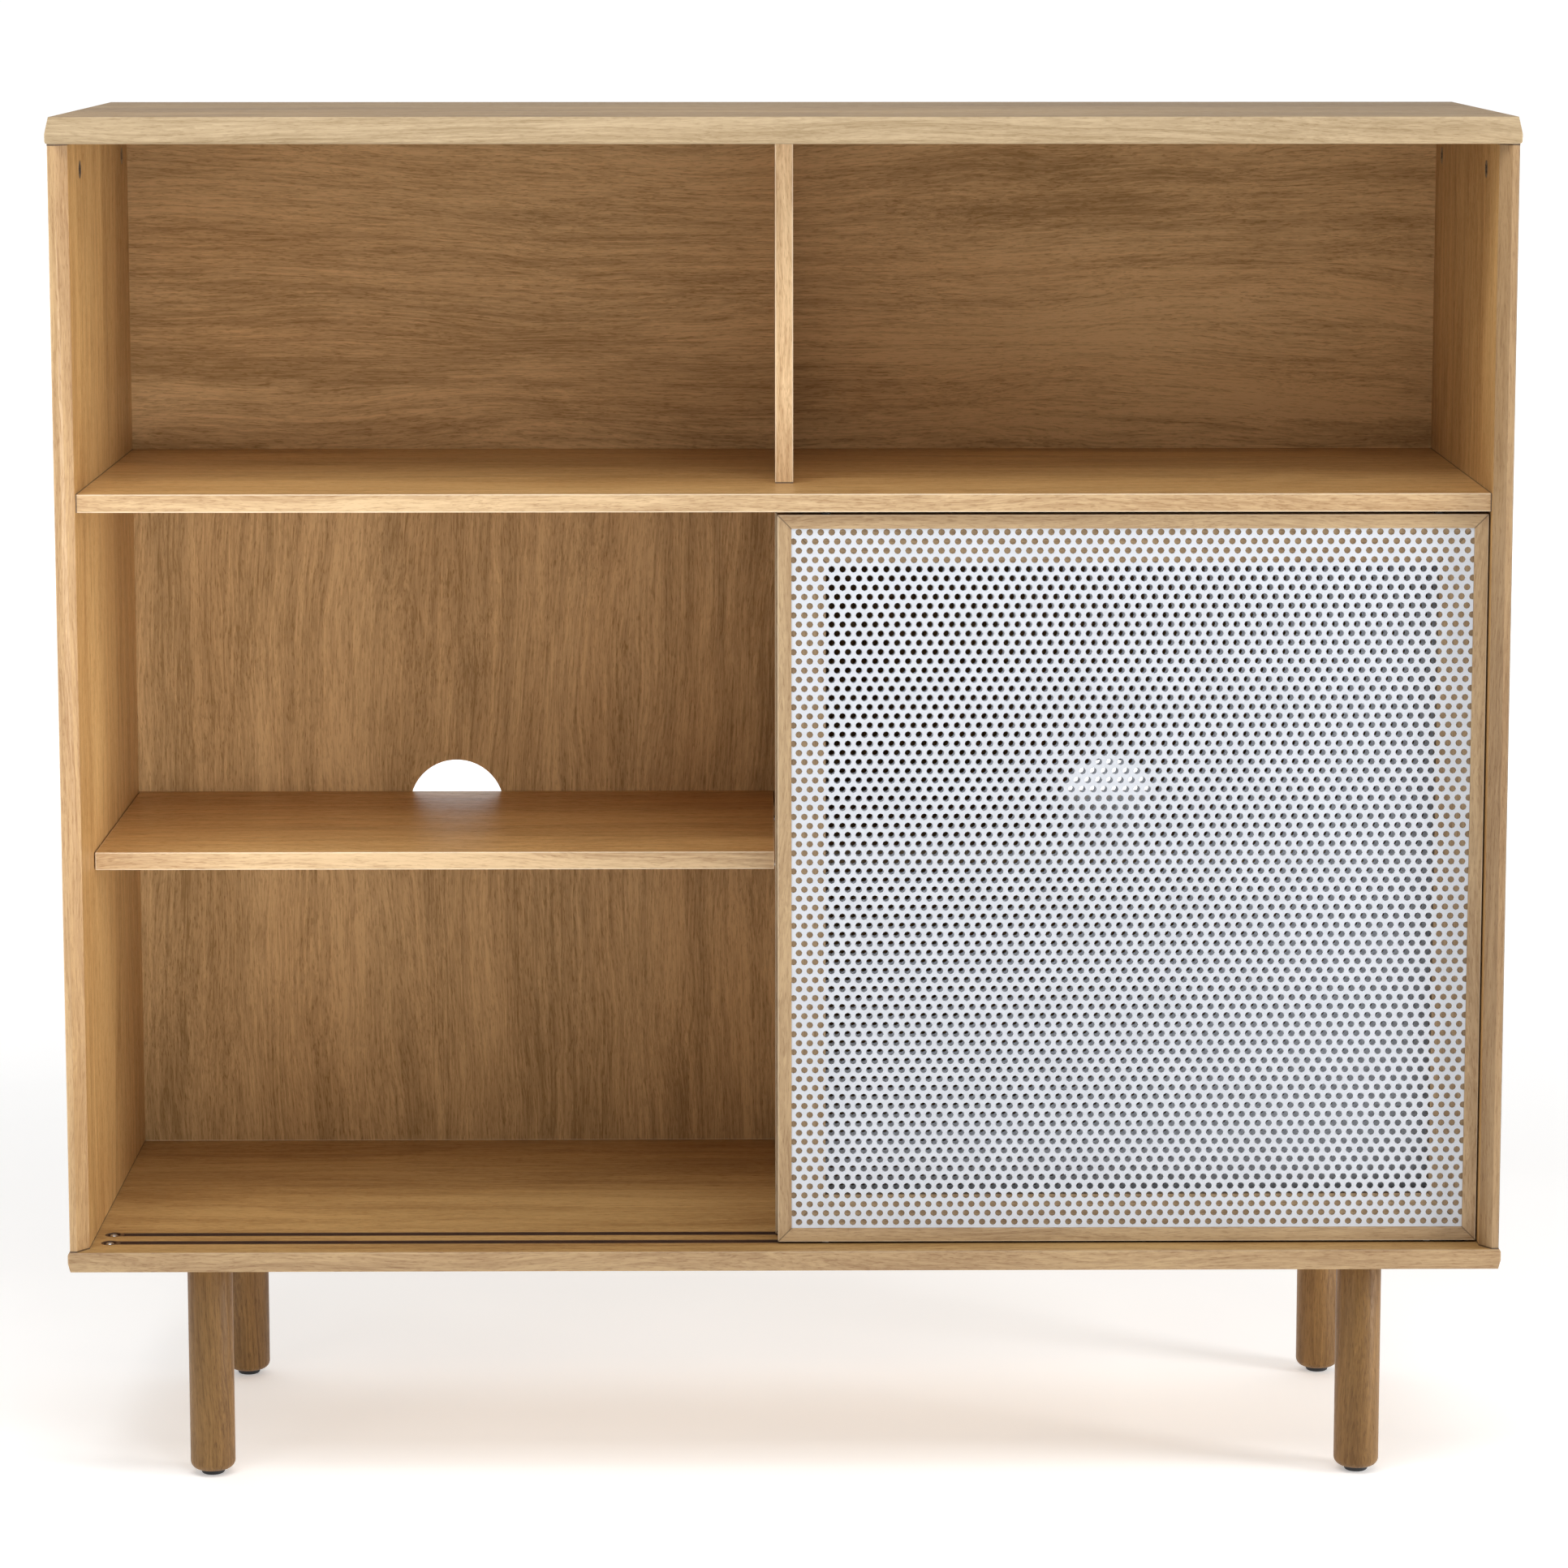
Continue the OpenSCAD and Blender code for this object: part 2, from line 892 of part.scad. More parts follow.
module front_door_bottom_rail() {
    color(oak_frame) at_door(false) bottom_rail();
}

module front_door_perforated_panel() {
    color(white_steel) at_door(false) perforated_panel();
}

module front_door_mitre_dowels() {
    color(beech) at_door(false) mitre_dowel_set(0);
}

module front_door_top_guides() {
    color(black_plastic) at_door(false) top_guides();
}

module front_door_bottom_glides() {
    color(white_plastic) at_door(false) bottom_glides();
}

module rear_door_left_stile() {
    color(oak_frame) at_door(true) left_stile();
}

module rear_door_right_stile() {
    color(oak_frame) at_door(true) right_stile();
}

module rear_door_top_rail() {
    color(oak_frame) at_door(true) top_rail();
}

module rear_door_bottom_rail() {
    color(oak_frame) at_door(true) bottom_rail();
}

module rear_door_perforated_panel() {
    color(white_steel) at_door(true) perforated_panel();
}

module rear_door_mitre_dowels() {
    color(beech) at_door(true) mitre_dowel_set(0);
}

module rear_door_top_guides() {
    color(black_plastic) at_door(true) top_guides();
}

module rear_door_bottom_glides() {
    color(white_plastic) at_door(true) bottom_glides();
}

top_panel();
bottom_panel();
left_side_panel();
right_side_panel();
fixed_shelf();
upper_divider();
lower_divider();
left_shelf();
right_shelf();
upper_back_panel();
lower_left_back_panel();
lower_right_back_panel();
front_track();
rear_track();
track_screws();
front_guide_channel();
rear_guide_channel();
shelf_pins();
cam_locks();
cam_bolts();
wood_dowels();
carcass_screws();
back_panel_screws();
front_left_leg();
front_right_leg();
back_left_leg();
back_right_leg();
leg_inserts();
leg_bolts();
front_left_glide();
front_right_glide();
back_left_glide();
back_right_glide();
front_door_left_stile();
front_door_right_stile();
front_door_top_rail();
front_door_bottom_rail();
front_door_perforated_panel();
front_door_mitre_dowels();
front_door_top_guides();
front_door_bottom_glides();
rear_door_left_stile();
rear_door_right_stile();
rear_door_top_rail();
rear_door_bottom_rail();
rear_door_perforated_panel();
rear_door_mitre_dowels();
rear_door_top_guides();
rear_door_bottom_glides();
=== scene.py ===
"""Looks for the media cabinet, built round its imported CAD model.

Metres, in the CAD frame: +X right, +Y back, +Z up.
"""

import itertools
import json
import math

import bpy
import numpy as np
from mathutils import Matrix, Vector


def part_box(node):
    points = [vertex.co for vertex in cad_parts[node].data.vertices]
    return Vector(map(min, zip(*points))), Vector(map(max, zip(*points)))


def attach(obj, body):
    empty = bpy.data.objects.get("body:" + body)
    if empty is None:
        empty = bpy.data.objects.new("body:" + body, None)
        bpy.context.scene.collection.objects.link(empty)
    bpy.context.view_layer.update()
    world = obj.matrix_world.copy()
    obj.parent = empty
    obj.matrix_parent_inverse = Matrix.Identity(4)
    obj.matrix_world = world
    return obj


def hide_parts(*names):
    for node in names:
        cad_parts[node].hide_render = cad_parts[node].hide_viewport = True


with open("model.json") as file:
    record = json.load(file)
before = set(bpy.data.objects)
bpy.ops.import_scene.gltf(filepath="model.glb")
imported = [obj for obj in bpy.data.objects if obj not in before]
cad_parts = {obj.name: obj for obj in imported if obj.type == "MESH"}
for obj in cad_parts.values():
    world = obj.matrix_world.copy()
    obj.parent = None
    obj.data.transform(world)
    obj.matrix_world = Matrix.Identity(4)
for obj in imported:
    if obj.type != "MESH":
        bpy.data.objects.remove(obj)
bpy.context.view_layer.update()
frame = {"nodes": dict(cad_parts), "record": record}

MM = 0.001


# ---- Node helpers ----


class Tree:
    """Adds nodes to a node tree. An input is a number, a tuple or another node's output."""

    def __init__(self, tree):
        self.tree = tree

    def node(self, kind, inputs=(), **settings):
        made = self.tree.nodes.new("ShaderNode" + kind)
        for name, value in settings.items():
            setattr(made, name, value)
        for key, value in dict(inputs).items():
            if isinstance(value, bpy.types.NodeSocket):
                self.tree.links.new(value, made.inputs[key])
            else:
                made.inputs[key].default_value = value
        return made

    def math(self, operation, a, b=0.0, clamp=False):
        return self.node("Math", {0: a, 1: b}, operation=operation, use_clamp=clamp).outputs[0]

    def vector(self, operation, a, b=(0, 0, 0)):
        return self.node("VectorMath", {0: a, 1: b}, operation=operation).outputs[0]

    def noise(self, place, scale=1.0, detail=2.0, roughness=0.5, output="Fac"):
        inputs = {"Vector": place, "Scale": scale, "Detail": detail, "Roughness": roughness}
        return self.node("TexNoise", inputs).outputs[output]

    def grained(self, place, along, across, **settings):
        """Noise with this many features per metre along the grain and across it."""
        return self.noise(self.vector("MULTIPLY", place, (along, across, across)), **settings)

    def line_noise(self, value, scale, detail):
        """Noise that depends on one number."""
        inputs = {"W": value, "Scale": scale, "Detail": detail}
        return self.node("TexNoise", inputs, noise_dimensions="1D").outputs["Fac"]

    def remap(self, value, low, high, to_low=0.0, to_high=1.0):
        """Value moved from low..high to to_low..to_high, with soft ends."""
        inputs = {0: value, 1: low, 2: high, 3: to_low, 4: to_high}
        return self.node("MapRange", inputs, interpolation_type="SMOOTHSTEP").outputs[0]

    def between(self, factor, a, b):
        """The number a share of the way from a to b."""
        return self.node("Mix", {0: factor, 2: a, 3: b}, data_type="FLOAT").outputs[0]

    def blend(self, factor, a, b, mode="MIX"):
        """Two colours mixed. A tuple is red, green and blue."""
        made = self.tree.nodes.new("ShaderNodeMix")
        made.data_type = "RGBA"
        made.blend_type = mode
        for key, value in ((0, factor), (6, a), (7, b)):
            if isinstance(value, bpy.types.NodeSocket):
                self.tree.links.new(value, made.inputs[key])
            else:
                made.inputs[key].default_value = value if key == 0 else (*value, 1.0)
        return made.outputs[2]


def new_material(name):
    """A material with nodes, its tree helper and its shader."""
    material = bpy.data.materials.new(name)
    material.use_nodes = True
    tree = Tree(material.node_tree)
    shader = next(n for n in material.node_tree.nodes if n.type == "BSDF_PRINCIPLED")
    return material, tree, shader


def finish_shader(tree, shader, colour, roughness, height, bump, distance=1.0 * MM, **sockets):
    """Joins the colour, roughness and bump to the shader, and sets its uniform sockets."""
    tree.tree.links.new(colour, shader.inputs["Base Color"])
    tree.tree.links.new(roughness, shader.inputs["Roughness"])
    bumped = tree.node("Bump", {"Height": height, "Strength": bump, "Distance": distance})
    tree.tree.links.new(bumped.outputs[0], shader.inputs["Normal"])
    for name, value in sockets.items():
        shader.inputs[name.replace("_", " ")].default_value = value


# ---- Oak ----

# How a board's axes are turned, so that the first one runs along its grain
GRAIN_TURN = {
    "x": (0.0, 0.0, 0.0),
    "z": (0.0, math.radians(90), 0.0),
}
# How far through the noise each step of a board's seed moves it
SEED_STEP = (3.7, 1.3, 0.9)
PITH_TILT = 0.03
GROUP_INPUTS = (("Place", "Vector"), ("Pith", "Vector"), ("Ring", "Float"), ("Figure", "Float"),
                ("Light", "Color"), ("Dark", "Color"), ("Edge", "Float"))
GROUP_OUTPUTS = (("Color", "Color"), ("Roughness", "Float"), ("Height", "Float"))


def wander(t, place):
    """The place, moved so that whole bands of grain lean and bow, and single fibres shake a little."""
    slow = t.grained(place, 1.6, 5.0, detail=2.0, output="Color")
    fine = t.grained(place, 7.0, 34.0, detail=3.0, output="Color")
    for field, reach in ((slow, 0.075), (fine, 0.011)):
        centred = t.vector("SUBTRACT", field, (0.5, 0.5, 0.5))
        place = t.vector("ADD", place, t.vector("MULTIPLY", centred, (0.0, reach, reach)))
    return place


def ring_band(t, place, given):
    """Dark side of each growth ring: rings of uneven width round a pith that leans along the grain."""
    x, y, z = t.node("SeparateXYZ", {0: t.vector("SUBTRACT", place, given["Pith"])}).outputs
    deep = t.math("ADD", z, t.math("MULTIPLY", x, PITH_TILT))
    squares = t.math("ADD", t.math("MULTIPLY", y, y), t.math("MULTIPLY", deep, deep))
    count = t.math("DIVIDE", t.math("SQRT", squares), given["Ring"])
    uneven = t.math("MULTIPLY", t.line_noise(count, 0.11, 1.0), 9.0)
    count = t.math("ADD", count, uneven)
    ring = t.math("FRACT", count)
    band = t.math("MULTIPLY", t.remap(ring, 0.0, 0.75), t.remap(ring, 0.85, 1.0, 1.0, 0.0))
    year = t.line_noise(t.math("FLOOR", count), 0.73, 0.0)
    patch = t.grained(place, 3.0, 16.0, detail=2.0)
    clear_year = t.remap(year, 0.3, 0.7, 0.1, 1.0)
    clear_patch = t.remap(patch, 0.3, 0.65, 0.1, 1.0)
    strength = t.math("MULTIPLY", t.math("MULTIPLY", clear_year, clear_patch), given["Figure"])
    return t.math("MULTIPLY", band, strength)


def wood_tone(t, place, band, fibre, pores):
    """How dark the wood is, from 0 to 1: rings, streaks, fibres, broad patches, pores and flecks."""
    streak = t.grained(place, 3.0, 70.0, detail=4.0, roughness=0.65)
    broad = t.grained(place, 1.6, 9.0, detail=3.0, roughness=0.6)
    flecks = t.remap(t.grained(place, 160.0, 320.0, detail=1.0), 0.64, 0.76)
    tone = t.math("MULTIPLY", band, 0.34)
    for layer in (
        t.remap(streak, 0.28, 0.72, -0.24, 0.30),
        t.remap(fibre, 0.27, 0.73, -0.28, 0.30),
        t.remap(broad, 0.28, 0.72, -0.24, 0.26),
        t.math("MULTIPLY", pores, 0.34),
        t.math("MULTIPLY", flecks, -0.10),
    ):
        tone = t.math("ADD", tone, layer)
    return t.math("ADD", tone, 0.26, clamp=True)


def wood_colour(t, place, tone, sheen_and_wear, given):
    """Light to dark by tone, warmer in slow patches, and paler along the arrises, where a highlight is
    painted with some wear.
    """
    colour = t.blend(tone, given["Light"], given["Dark"])
    hue = t.grained(place, 1.7, 14.0, detail=1.0)
    warm = t.blend(t.remap(hue, 0.35, 0.7, 0.0, 0.12), colour, (1.0, 0.82, 0.62), mode="MULTIPLY")
    # Painted highlight with some wear: the arrises are screened paler
    return t.blend(sheen_and_wear, warm, (1.0, 0.86, 0.66), mode="SCREEN")


def oak_group():
    """Node group for oak: rings round a tilted pith, pores, fibres, and arrises made paler by a painted
    highlight with some wear.
    """
    group = bpy.data.node_groups.new("oak", "ShaderNodeTree")
    for way, sockets in (("INPUT", GROUP_INPUTS), ("OUTPUT", GROUP_OUTPUTS)):
        for name, kind in sockets:
            group.interface.new_socket(name, in_out=way, socket_type="NodeSocket" + kind)
    t = Tree(group)
    given = group.nodes.new("NodeGroupInput").outputs
    place = wander(t, given["Place"])
    band = ring_band(t, place, given)
    fibre = t.grained(place, 22.0, 520.0, detail=3.0, roughness=0.7)
    pores = t.remap(t.grained(place, 120.0, 1150.0, detail=1.0), 0.54, 0.66)
    # How much paler the arrises are: a painted highlight, with some wear that also makes them rougher
    sheen_and_wear = t.math("MULTIPLY", given["Edge"], t.remap(fibre, 0.2, 0.7, 0.35, 1.0))
    colour = wood_colour(t, place, wood_tone(t, place, band, fibre, pores), sheen_and_wear, given)

    rough = t.math("ADD", t.remap(fibre, 0.2, 0.8, -0.05, 0.06), t.math("MULTIPLY", pores, 0.12))
    rough = t.math("ADD", rough, t.math("MULTIPLY", sheen_and_wear, 0.15))
    height = t.math("SUBTRACT", t.math("MULTIPLY", fibre, 0.35), t.math("MULTIPLY", pores, 0.65))
    height = t.math("SUBTRACT", height, t.math("MULTIPLY", band, 0.15))
    out = group.nodes.new("NodeGroupOutput")
    for (name, _), source in zip(GROUP_OUTPUTS, (colour, rough, height)):
        group.links.new(source, out.inputs[name])
    return group


OAK = oak_group()
# The arrises' painted highlight and wear are full out to the first distance, and less and less up to
# the second
ARRIS_FULL, ARRIS_END = 0.15 * MM, 1.3 * MM
# The dark colour of joints and of the painted shade on the rebate floors, how wide each kind is, and
# how much of the colour it takes on
JOINT_AND_SHADE = (0.055, 0.028, 0.012)
SEAM_WIDTH, SEAM_SHARE = 1.2 * MM, 0.85
MITRE_WIDTH, MITRE_SHARE = 0.5 * MM, 0.6
REBATE_REACH, REBATE_SHADE_SHARE = 0.3 * MM, 0.35
# How deep the painted shade on the right side's outer face goes
OUTER_SHADE_DEPTH = 0.6 * MM


def end_gap(t, sockets, low, high, axis):
    """Distance to the nearer of a box's two ends on one axis."""
    k = "xyz".index(axis)
    from_low = t.math("SUBTRACT", sockets[k], low[k])
    return t.math("MINIMUM", from_low, t.math("SUBTRACT", high[k], sockets[k]))


def arris_mask(t, place, node):
    """1 along a board's arrises, where two of its box's faces meet, and 0 elsewhere."""
    low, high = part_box(node)
    above = t.vector("ABSOLUTE", t.vector("SUBTRACT", place, tuple(low)))
    below = t.vector("ABSOLUTE", t.vector("SUBTRACT", tuple(high), place))
    x, y, z = t.node("SeparateXYZ", {0: t.vector("MINIMUM", above, below)}).outputs
    total = t.math("ADD", t.math("ADD", x, y), z)
    least = t.math("MINIMUM", t.math("MINIMUM", x, y), z)
    most = t.math("MAXIMUM", t.math("MAXIMUM", x, y), z)
    second = t.math("SUBTRACT", t.math("SUBTRACT", total, least), most)
    return t.remap(second, ARRIS_FULL, ARRIS_END, 1.0, 0.0)


def band_mask(t, place, node, across, back):
    """1 within the edge band and 0 elsewhere.

    The band reaches in from the board's left and right ends by across, and back from its front by back.
    """
    low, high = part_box(node)
    sockets = t.node("SeparateXYZ", {0: place}).outputs
    in_end = t.math("LESS_THAN", end_gap(t, sockets, low, high, "x"), across)
    in_front = t.math("LESS_THAN", t.math("SUBTRACT", sockets[1], low.y), back)
    return t.math("MAXIMUM", in_end, in_front)


def seam_mask(t, place, node, axis):
    """1 beside a board's two ends on this axis, where it meets the next board, and 0 elsewhere."""
    sockets = t.node("SeparateXYZ", {0: place}).outputs
    return t.math("LESS_THAN", end_gap(t, sockets, *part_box(node), axis), SEAM_WIDTH)


def mitre_mask(t, place, node):
    """1 along the two mitre cuts of a door rail or stile, and 0 elsewhere."""
    low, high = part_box(node)
    sockets = t.node("SeparateXYZ", {0: place}).outputs
    along, across = ("x", "z") if "rail" in node else ("z", "x")
    k = "xyz".index(across)
    if "bottom" in node or "left" in node:
        depth = t.math("SUBTRACT", sockets[k], low[k])
    else:
        depth = t.math("SUBTRACT", high[k], sockets[k])
    from_cut = t.math("ABSOLUTE", t.math("SUBTRACT", end_gap(t, sockets, low, high, along), depth))
    return t.math("LESS_THAN", from_cut, MITRE_WIDTH * math.sqrt(2.0))


def rebate_shade_mask(t, place, node):
    """1 on the floor of the rebate that holds a door's steel sheet, where shade is painted, and 0
    elsewhere.
    """
    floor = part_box(node.split("door")[0] + "door_perforated_panel")[1].y
    y = t.node("SeparateXYZ", {0: place}).outputs[1]
    return t.math("LESS_THAN", t.math("ABSOLUTE", t.math("SUBTRACT", y, floor)), REBATE_REACH)


def outer_shade_mask(t, place, node):
    """1 on the right side board's outer face, where shade is painted, and 0 elsewhere."""
    x = t.node("SeparateXYZ", {0: place}).outputs[0]
    return t.math("LESS_THAN", t.math("SUBTRACT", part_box(node)[1].x, x), OUTER_SHADE_DEPTH)


def darken(t, colour, mask, share):
    """The colour, moved this share of the way to the dark colour of joints and painted shade where the
    mask is 1.
    """
    return t.blend(t.math("MULTIPLY", mask, share), colour, JOINT_AND_SHADE)


def banded_tones(t, place, node, tones, band):
    """Light and dark colours that change to the edge band's own inside the band."""
    across, back, band_tones = band
    banded = band_mask(t, place, node, across * MM, back * MM)
    return [t.blend(banded, plain, edge) for plain, edge in zip(tones, band_tones)]


def mark_faces(t, place, node, colour, seam, mitred, outer_shade):
    """The wood's colour, with dark joints, painted shade on the rebate floor and painted shade on the
    outer face, where the board has them.
    """
    if outer_shade:
        # Painted shade: the outer face is darkened against the strong light from the right
        colour = t.blend(outer_shade_mask(t, place, node), colour, outer_shade, mode="MULTIPLY")
    if seam:
        colour = darken(t, colour, seam_mask(t, place, node, seam), SEAM_SHARE)
    if mitred:
        colour = darken(t, colour, mitre_mask(t, place, node), MITRE_SHARE)
        # Painted shade on the rebate floor, where the steel sheet shades the wood seen through its
        # holes
        colour = darken(t, colour, rebate_shade_mask(t, place, node), REBATE_SHADE_SHARE)
    return colour


def oak(node, grain, tones, band=None, seam="", mitred=False, outer_shade=None, pith=(0.0, 0.0, -0.06),
        ring=3.5, figure=1.0, rough=0.42, wear_and_sheen=0.25, seed=0, shine=0.5):
    """Oak for one CAD node. Its seed gives it its own part of the noise, so that no two boards match.

    tones are its light and dark colours, ring is the rings' width in mm, and pith is where the middle
    of the tree lies, in metres on the turned axes. band is (across, back, tones) for the edge band,
    in mm. seam is the axis whose two ends meet other boards, and the outer face's tint is painted
    shade, multiplied into that face. The arrises' paleness is a painted highlight with some wear.
    """
    material, t, shader = new_material("oak_" + node)
    place = t.node("TexCoord").outputs["Object"]
    shift = [seed * step for step in SEED_STEP]
    turning = {"Vector": place, "Rotation": GRAIN_TURN[grain], "Location": shift}
    light, dark = [(*tone, 1.0) for tone in tones]
    if band:
        light, dark = banded_tones(t, place, node, tones, band)
    wood = t.node("Group", {
        "Place": t.node("Mapping", turning).outputs[0],
        "Pith": [a + b for a, b in zip(shift, pith)],
        "Ring": ring * MM,
        "Figure": figure,
        "Light": light,
        "Dark": dark,
        # How pale the arrises are painted: a highlight with some wear
        "Edge": t.math("MULTIPLY", arris_mask(t, place, node), wear_and_sheen),
    }, node_tree=OAK).outputs
    colour = mark_faces(t, place, node, wood["Color"], seam, mitred, outer_shade)
    roughness = t.math("ADD", wood["Roughness"], rough)
    finish_shader(t, shader, colour, roughness, wood["Height"], bump=0.35,
                  distance=0.4 * MM, Specular_IOR_Level=shine)
    return material


# ---- Plain materials with fine detail ----


def speckled(name, light, dark, rough, metal=0.0, grain=1200.0, spread=0.35, bump=0.15,
             brushed=(1, 1, 1)):
    """Moulded plastic, zinc, steel or beech: mottled colour, uneven roughness and a fine surface.

    grain is the fine specks per metre, and spread is their share of the mottling.
    """
    material, t, shader = new_material(name)
    place = t.node("TexCoord").outputs["Object"]
    small = t.noise(t.vector("MULTIPLY", place, brushed), scale=grain, detail=3.0, roughness=0.6)
    large = t.noise(place, scale=35.0, detail=3.0)
    mixed = t.math("ADD", t.remap(small, 0.25, 0.75, 0.0, spread),
                   t.remap(large, 0.3, 0.7, 0.0, 1 - spread))
    roughness = t.math("ADD", t.remap(large, 0.3, 0.7, rough - 0.05, rough + 0.07),
                       t.remap(small, 0.3, 0.7, -0.03, 0.03))
    finish_shader(t, shader, t.blend(mixed, light, dark), roughness, small, bump,
                  distance=0.2 * MM, Metallic=metal)
    return material


# ---- Perforated sheets ----

HOLE_PITCH = (9.07 * MM, 7.69 * MM)
HOLE_R = 2.86 * MM
HOLE_SIDES = 8
# A hole that cuts less than this into the sheet's left or right edge is left out
LEAST_CUT = 0.2 * MM
# The least steel below the lowest row of holes
LEAST_FOOT = 0.05 * MM
# Points on the same step of this grid are one point. It has this many steps in a metre
GRID = 1e8
# A triangle with less than half this area, in square metres, is dropped
SLIVER = 1e-14


def row_line(centres, width, level, side):
    """Outline of one row of holes, left to right, cut to 0..width.

    It follows the holes' upper halves where side is 1, and their lower halves where it is -1.
    """
    steps = HOLE_SIDES // 2
    turns = [math.pi * k / steps for k in range(steps + 1)]
    line = [(c - HOLE_R * math.cos(turn), side * HOLE_R * math.sin(turn))
            for c in centres for turn in turns]
    if line[0][0] > 0:
        line.insert(0, (0.0, 0.0))
    if line[-1][0] < width:
        line.append((width, 0.0))
    return [(x, level + z) for x, z in cut_line(line, width)]


def cut_line(line, width):
    """The part of a left-to-right line from x = 0 to width, with new ends where it crosses them."""
    kept = []
    for (xa, za), (xb, zb) in zip(line, line[1:]):
        for edge in (0.0, width):
            if xa < edge < xb:
                share = (edge - xa) / (xb - xa)
                kept.append((edge, za + share * (zb - za)))
        if 0.0 <= xb <= width:
            kept.append((xb, zb))
    if 0.0 <= line[0][0] <= width:
        kept.insert(0, line[0])
    return kept


def zip_strip(upper, lower):
    """Triangles, as corner points, that fill the strip between two left-to-right lines."""
    faces = []
    i = j = 0
    while i < len(upper) - 1 or j < len(lower) - 1:
        a, b = upper[i], lower[j]
        take_upper = j == len(lower) - 1
        if i < len(upper) - 1 and j < len(lower) - 1:
            up = math.dist(upper[i + 1], b)
            down = math.dist(a, lower[j + 1])
            take_upper = up <= down
        if take_upper:
            faces.append((a, b, upper[i + 1]))
            i += 1
        else:
            faces.append((a, b, lower[j + 1]))
            j += 1
    return faces


def hole_rows(width, height, first):
    """Level and hole centres of each staggered row, from the top.

    first is how far the top left hole is from the sheet's top left corner, across and down.
    """
    step_x, step_z = HOLE_PITCH
    rows = []
    level, odd = height - first[1], False
    while level - HOLE_R > LEAST_FOOT:
        start = first[0] - (step_x / 2 if odd else 0.0)
        start -= math.floor((start + HOLE_R) / step_x) * step_x
        centres = np.arange(start, width + HOLE_R, step_x)
        centres = [c for c in centres if c + HOLE_R > LEAST_CUT and c - HOLE_R < width - LEAST_CUT]
        rows.append((level, centres))
        level, odd = level - step_z, not odd
    return rows


def sheet_faces(width, height, first):
    """Front face of a perforated sheet with its lower left corner at (0, 0), as triangles."""
    rows = hole_rows(width, height, first)
    faces = []
    above = [(x, height) for x, _ in row_line(rows[0][1], width, 0.0, 1)]
    for level, centres in rows:
        faces += zip_strip(above, row_line(centres, width, level, 1))
        above = row_line(centres, width, level, -1)
    faces += zip_strip(above, [(x, 0.0) for x, _ in above])
    return faces


def joined(faces):
    """Each of the triangles' points once, and the triangles as point numbers, all one way round."""
    flat = np.array(faces, float)
    keys = np.round(flat.reshape(-1, 2) * GRID).astype(np.int64)
    points, where = np.unique(keys, axis=0, return_inverse=True)
    tris = where.reshape(-1, 3)
    a, b, c = (flat[:, k] for k in range(3))
    area = (b - a)[:, 0] * (c - a)[:, 1] - (b - a)[:, 1] * (c - a)[:, 0]
    whole = np.abs(area) > SLIVER
    tris, area = tris[whole], area[whole]
    tris[area < 0] = tris[area < 0][:, ::-1]
    return points / GRID, tris


def rim_edges(tris, count):
    """The edges that only one triangle has, in that triangle's direction."""
    edges = np.concatenate([tris[:, [0, 1]], tris[:, [1, 2]], tris[:, [2, 0]]])
    code = edges[:, 0] * count + edges[:, 1]
    back = edges[:, 1] * count + edges[:, 0]
    return edges[~np.isin(code, back)]


def sheet_mesh(name, low, high, plan, tris):
    """A closed mesh with the flat plan as its front and rear, and a wall round every rim."""
    count = len(plan)
    rim = rim_edges(tris, count)
    front = np.stack([low.x + plan[:, 0], np.full(count, low.y), low.z + plan[:, 1]], 1)
    rear = front.copy()
    rear[:, 1] = high.y
    walls = np.stack([rim[:, 1], rim[:, 0], rim[:, 0] + count, rim[:, 1] + count], 1)
    corners = [*tris.tolist(), *(tris[:, ::-1] + count).tolist(), *walls.tolist()]
    mesh = bpy.data.meshes.new(name)
    mesh.from_pydata(np.concatenate([front, rear]).tolist(), [], corners)
    mesh.polygons.foreach_set("use_smooth", [False] * (2 * len(tris)) + [True] * len(walls))
    mesh.update()
    mesh.set_sharp_from_angle(angle=math.radians(60))
    return mesh


def perforated_sheet(node, body, first, material):
    """A steel sheet with staggered round holes, in place of the plain CAD plate."""
    low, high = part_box(node)
    plan, tris = joined(sheet_faces(high.x - low.x, high.z - low.z, first))
    mesh = sheet_mesh(node + "_holed", low, high, plan, tris)
    sheet = bpy.data.objects.new(node + "_holed", mesh)
    bpy.context.scene.collection.objects.link(sheet)
    mesh.materials.append(material)
    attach(sheet, body)
    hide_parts(node)


# ---- Giving every node its material ----


def dress(node, material):
    """Gives a CAD node this material and no other."""
    mesh = frame["nodes"][node].data
    mesh.materials.clear()
    mesh.materials.append(material)


def ease_arrises(node):
    """Rounds a board's sharp arrises a little, so that they catch the light and its joints show."""
    board = frame["nodes"][node]
    weld = board.modifiers.new("weld", "WELD")
    weld.merge_threshold = 0.01 * MM
    bevel = board.modifiers.new("arrises", "BEVEL")
    bevel.width = 0.5 * MM
    bevel.segments = 2
    bevel.limit_method = "ANGLE"
    bevel.angle_limit = math.radians(35)
    bevel.harden_normals = True


# Light and dark tones. The tans are the bands on the boards' edges
SIDE_TAN = (0.53, 0.345, 0.168), (0.31, 0.17, 0.068)
# The next tan, the upper divider's front band, is a lighter copy of EDGE_TAN: painted highlight where
# more light falls on it
DIVIDER_TAN_LIT = (0.78, 0.56, 0.32), (0.45, 0.27, 0.125)
